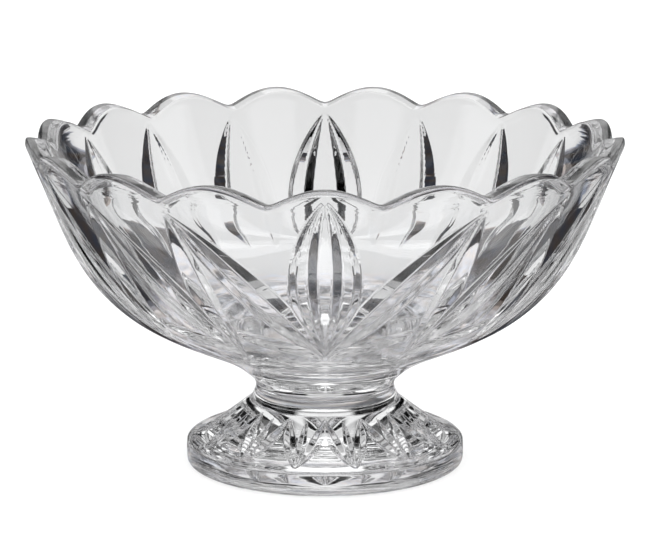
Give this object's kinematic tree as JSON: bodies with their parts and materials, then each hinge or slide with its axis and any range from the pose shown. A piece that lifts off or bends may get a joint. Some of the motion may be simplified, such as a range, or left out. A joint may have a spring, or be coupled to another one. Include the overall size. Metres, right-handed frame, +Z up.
{
  "type": "footed cut crystal bowl",
  "caption": "Clear footed serving bowl with an arched scalloped rim, mitre-cut leaves on the outside, a plain neck collar and a domed foot cut with a zigzag of leaves.",
  "frame": {"origin": "on the bowl's axis at the level of the table, the underside of the foot's standing ring", "axes": "+Z up along the axis of the bowl; -Y towards the front scallop that carries the oval cut; +X to the right seen from the front"},
  "size_m": [0.2518, 0.2514, 0.1425],
  "materials": {
    "crystal_bowl": "clear, fire-polished inside, polished mitre cuts outside",
    "crystal_collar": "clear, polished",
    "crystal_foot": "clear, polished mitre cuts, ground standing ring"
  },
  "bodies": {
    "root": {"bowl": "crystal_bowl", "neck_collar": "crystal_collar", "foot": "crystal_foot"}
  },
  "joints": []
}
